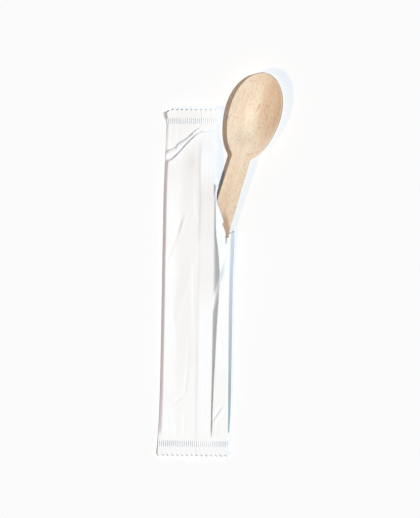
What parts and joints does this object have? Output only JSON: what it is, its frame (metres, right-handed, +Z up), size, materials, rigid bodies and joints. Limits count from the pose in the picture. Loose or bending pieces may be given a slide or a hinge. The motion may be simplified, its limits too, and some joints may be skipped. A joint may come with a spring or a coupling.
{
  "type": "wooden spoon in torn paper wrapper",
  "caption": "Disposable pressed birch spoon lying with its handle in a white paper sleeve that has crimped ends and is torn open along one side.",
  "frame": {"origin": "middle of the wrapper's flat back, on the surface that it lies on", "axes": "+Z up from the surface, +Y along the wrapper towards its torn end and the spoon's bowl, +X across it towards the side where the spoon leaves"},
  "size_m": [0.0757, 0.2418, 0.0082],
  "materials": {
    "white_paper": "matt",
    "birch_veneer": "matt"
  },
  "bodies": {
    "root": {"wrapper": "white_paper", "spoon": "birch_veneer"}
  },
  "joints": []
}
